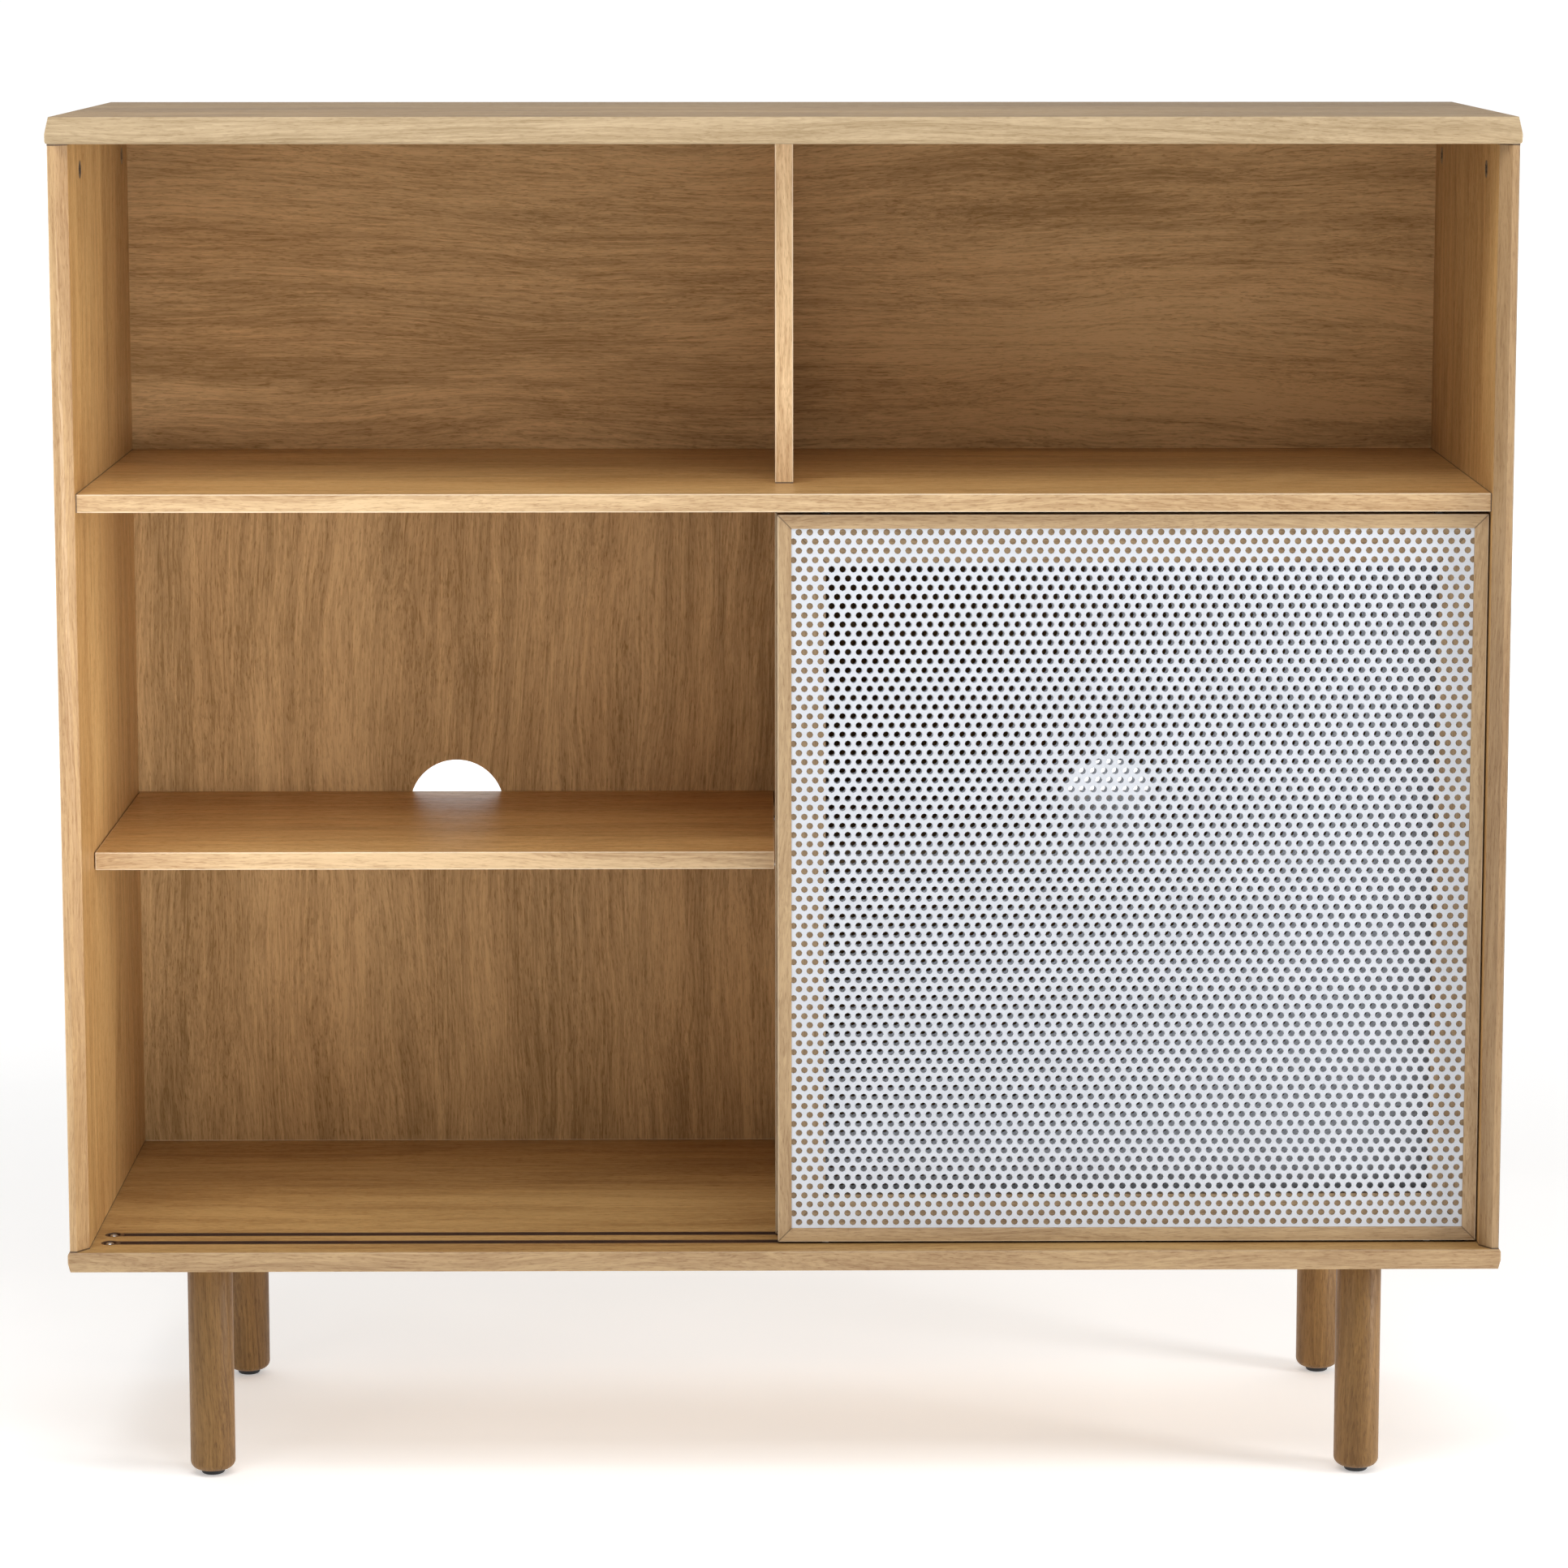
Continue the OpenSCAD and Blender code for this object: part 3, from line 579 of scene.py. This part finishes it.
# The next tan, the right side's front band, is a darker copy of SIDE_TAN: painted shade, where less
# light falls
RIGHT_TAN_SHADED = (0.38, 0.245, 0.12), (0.22, 0.12, 0.048)
EDGE_TAN = (0.62, 0.435, 0.24), (0.35, 0.205, 0.09)
LOW_TAN = (0.48, 0.325, 0.165), (0.27, 0.15, 0.065)
TOP_TAN = (0.485, 0.37, 0.23), (0.305, 0.218, 0.12)
TOP = (0.33, 0.216, 0.094), (0.175, 0.102, 0.039)
HONEY = (0.64, 0.395, 0.158), (0.36, 0.183, 0.056)
LOW_HONEY = (0.53, 0.335, 0.132), (0.29, 0.152, 0.047)
BACK = (0.615, 0.39, 0.175), (0.29, 0.166, 0.057)
UPPER_BACK = (0.72, 0.46, 0.215), (0.355, 0.205, 0.072)
FRAME = (0.48, 0.335, 0.18), (0.28, 0.17, 0.08)
LEG = (0.28, 0.152, 0.048), (0.135, 0.066, 0.018)

# What boards of one kind share
SIDE = dict(grain="z", seam="z", tones=HONEY)
EDGED = dict(tones=HONEY, band=(0, 1, EDGE_TAN), wear_and_sheen=0.5)
SHELF = dict(grain="x", rough=0.36, **EDGED)
MATT = dict(rough=0.5, shine=0.25)
LOWER_BACK = dict(grain="z", tones=BACK, pith=(0.0, 0.0, -0.05), **MATT)

BOARDS = {
    "top_panel": dict(grain="x", tones=TOP, band=(3.2, 3.2, TOP_TAN), seed=1, ring=4.0,
                      pith=(0.1, -0.1, -0.12), rough=0.5, shine=0.14),
    "bottom_panel": dict(grain="x", tones=LOW_HONEY, band=(2.0, 2.0, LOW_TAN), seed=2, ring=3.6,
                         pith=(0.0, 0.25, -0.12)),
    "left_side_panel": dict(band=(0, 12.2, SIDE_TAN), seed=3, pith=(0.0, 0.3, -0.1), **SIDE),
    # The right side's front band and outer face are darker: painted shade against the light from the
    # right
    "right_side_panel": dict(band=(0, 12.2, RIGHT_TAN_SHADED), seed=4, pith=(0.0, -0.3, -0.1),
                             outer_shade=(0.70, 0.71, 0.76), **SIDE),
    "fixed_shelf": dict(seam="x", seed=5, **SHELF),
    "upper_divider": dict(grain="z", seam="z", seed=6, tones=HONEY, band=(0, 1, DIVIDER_TAN_LIT), wear_and_sheen=0.5),
    "lower_divider": dict(grain="z", seam="z", seed=7, **EDGED),
    "left_shelf": dict(seed=8, **SHELF),
    "right_shelf": dict(seed=9, **SHELF),
    "upper_back_panel": dict(grain="x", tones=UPPER_BACK, seed=10, figure=0.7, pith=(0.3, 0.1, -0.09),
                             **MATT),
    "lower_left_back_panel": dict(seed=11, **LOWER_BACK),
    "lower_right_back_panel": dict(seed=12, **LOWER_BACK),
}
LEGS = ("front_left_leg", "front_right_leg", "back_left_leg", "back_right_leg")
DOORS = ("front_door_", "rear_door_")
MEMBERS = (("left_stile", "z"), ("right_stile", "z"), ("top_rail", "x"), ("bottom_rail", "x"))
FIRST_LEG_SEED = 25
FIRST_MEMBER_SEED = 36
for seed, leg in enumerate(LEGS, FIRST_LEG_SEED):
    BOARDS[leg] = dict(grain="z", tones=LEG, seed=seed, ring=3.0, wear_and_sheen=0.1, shine=0.3)
for seed, (door, (member, grain)) in enumerate(itertools.product(DOORS, MEMBERS), FIRST_MEMBER_SEED):
    BOARDS[door + member] = dict(grain=grain, tones=FRAME, mitred=True, seed=seed, ring=3.0)

# Each material slot's finish
FITTINGS = {
    "zinc": speckled("zinc", (0.72, 0.73, 0.74), (0.50, 0.51, 0.53), 0.34, metal=1.0,
                     grain=1600.0, bump=0.1),
    "dark_plastic": speckled("dark_plastic", (0.085, 0.040, 0.022), (0.05, 0.024, 0.014), 0.40),
    "black_plastic": speckled("black_plastic", (0.018, 0.018, 0.02), (0.008, 0.008, 0.009), 0.45),
    "white_plastic": speckled("white_plastic", (0.80, 0.80, 0.77), (0.70, 0.70, 0.67), 0.42),
    "beech": speckled("beech", (0.66, 0.46, 0.28), (0.52, 0.34, 0.19), 0.55, grain=700.0,
                      brushed=(0.1, 1, 1)),
    "white_steel": speckled("white_steel", (0.60, 0.622, 0.665), (0.55, 0.572, 0.615), 0.38,
                            grain=1400.0, spread=0.3, bump=0.12),
}
CAM_ZINC = speckled("dark_zinc", (0.52, 0.50, 0.47), (0.11, 0.10, 0.09), 0.42, metal=1.0,
                    grain=420.0, spread=0.75, bump=0.3)

for node, given in BOARDS.items():
    dress(node, oak(node, **given))
    # The back panels' edges are hidden, and easing them leaves a line of shading on their faces
    if not node.endswith("back_panel"):
        ease_arrises(node)
for subpart in frame["record"]["subparts"]:
    if subpart["material_slot"] in FITTINGS:
        dress(subpart["node"], FITTINGS[subpart["material_slot"]])
dress("cam_locks", CAM_ZINC)

# Each door's sheet, and how far its top left hole is from the sheet's top left corner
for door, first in (("front_door", (6.15 * MM, 3.0 * MM)), ("rear_door", (8.05 * MM, 6.26 * MM))):
    perforated_sheet(door + "_perforated_panel", door, first, FITTINGS["white_steel"])


# ---- Stage, light and camera ----

WHITE = (1.0, 1.0, 1.0, 1.0)
FLOOR_HALF = 30.0
# The floor's own glow near the middle and far from it, and how far off each of them is
NEAR_GLOW, NEAR_FLOOR = 0.32, 1.3
FAR_GLOW, FAR_FLOOR = 0.75, 3.2
# The backdrop's strength behind the cabinet, in front of it and above it
WORLD_BACK = 1.03
WORLD_FRONT = 0.52
WORLD_TOP = 0.12

# name, place, aimed at, width and height, watts
SOFTBOXES = (
    ("over_front", (0.0, -1.3, 2.5), (0.0, 0.0, 0.6), (3.0, 1.0), 27),
    ("right_side", (2.4, -0.9, 0.75), (-0.5, -0.1, 0.65), (0.7, 1.2), 36),
    ("over_left", (-0.6, -0.75, 2.3), (-0.45, -0.1, 0.9), (0.8, 0.5), 8),
    ("left_front", (-2.2, -2.6, 1.2), (0.4, 0.0, 0.6), (1.0, 1.6), 6),
)
# name, place, aimed at, cone in degrees, lamp radius, watts
SPOTS = (
    ("open_bay_low", (0.5, -2.6, 0.6), (-0.55, -0.15, 0.6), 18, 0.25, 140),
    ("open_bay_front", (-0.4, -3.8, 0.9), (-0.45, -0.2, 0.65), 20, 0.35, 32),
    ("open_bay_high", (0.8, -2.6, 2.6), (-0.45, -0.2, 0.6), 30, 0.35, 38),
)

CAMERA_PLACE = (-0.0199, -4.250, 1.285)
CAMERA_PITCH = math.radians(7.95)
CAMERA_YAW = math.radians(-0.56)
CAMERA_LENS = 114.1
CAMERA_SHIFT = (-0.0158, -0.09)


def make_floor():
    """A pale floor that glows more far from the cabinet, so that it meets the backdrop with no line."""
    mesh = bpy.data.meshes.new("floor")
    h = FLOOR_HALF
    mesh.from_pydata([(-h, -h, 0), (h, -h, 0), (h, h, 0), (-h, h, 0)], [], [(0, 1, 2, 3)])
    floor = bpy.data.objects.new("floor", mesh)
    bpy.context.scene.collection.objects.link(floor)
    material, t, shader = new_material("floor")
    place = t.node("TexCoord").outputs["Object"]
    grain = t.noise(place, scale=3.0, detail=4.0)
    colour = t.blend(t.remap(grain, 0.3, 0.7), (0.93, 0.93, 0.93), (0.90, 0.90, 0.90))
    away = t.node("VectorMath", {0: place}, operation="LENGTH").outputs["Value"]
    glow = t.remap(away, NEAR_FLOOR, FAR_FLOOR, NEAR_GLOW, FAR_GLOW)
    t.tree.links.new(glow, shader.inputs["Emission Strength"])
    shader.inputs["Emission Color"].default_value = WHITE
    finish_shader(t, shader, colour, t.remap(grain, 0.3, 0.7, 0.8, 0.9), grain, 0.02)
    mesh.materials.append(material)


def make_world():
    """White behind the cabinet and low down beside it, softer low in front of it, and dim above."""
    world = bpy.data.worlds.new("studio")
    bpy.context.scene.world = world
    world.use_nodes = True
    t = Tree(world.node_tree)
    direction = t.node("TexCoord").outputs["Generated"]
    across, back, up = t.node("SeparateXYZ", {0: direction}).outputs
    low = t.remap(up, 0.55, 0.15)
    aside = t.remap(t.math("ABSOLUTE", across), 0.6, 0.9)
    low_level = t.between(aside, t.remap(back, 0.0, 0.5, WORLD_FRONT, WORLD_BACK), WORLD_BACK)
    high_level = t.remap(back, 0.0, 0.5, WORLD_TOP, WORLD_BACK)
    background = next(n for n in world.node_tree.nodes if n.type == "BACKGROUND")
    background.inputs["Color"].default_value = WHITE
    world.node_tree.links.new(t.between(low, high_level, low_level), background.inputs["Strength"])


def add_light(name, kind, at, to, power):
    """A lamp at one place, aimed at another, that the camera doesn't see."""
    data = bpy.data.lights.new(name, kind)
    data.energy = power
    light = bpy.data.objects.new(name, data)
    light.location = at
    light.rotation_euler = (Vector(to) - Vector(at)).to_track_quat("-Z", "Y").to_euler()
    light.visible_camera = False
    bpy.context.scene.collection.objects.link(light)
    return data


def make_lights():
    """The softboxes, and three spots that reach into the open bays at the left."""
    for name, at, to, size, power in SOFTBOXES:
        data = add_light(name, "AREA", at, to, power)
        data.shape = "RECTANGLE"
        data.size, data.size_y = size
    for name, at, to, cone, radius, power in SPOTS:
        data = add_light(name, "SPOT", at, to, power)
        data.spot_size = math.radians(cone)
        data.spot_blend = 1.0
        data.shadow_soft_size = radius


def make_camera():
    """The photograph's viewing angle."""
    data = bpy.data.cameras.new("camera")
    data.sensor_width = 36.0
    data.lens = CAMERA_LENS
    data.shift_x, data.shift_y = CAMERA_SHIFT
    data.clip_end = 100.0
    camera = bpy.data.objects.new("camera", data)
    camera.location = CAMERA_PLACE
    camera.rotation_euler = (math.pi / 2 - CAMERA_PITCH, 0.0, CAMERA_YAW)
    bpy.context.scene.collection.objects.link(camera)
    bpy.context.scene.camera = camera


make_floor()
make_world()
make_lights()
make_camera()
bpy.context.scene.view_settings.view_transform = "Standard"
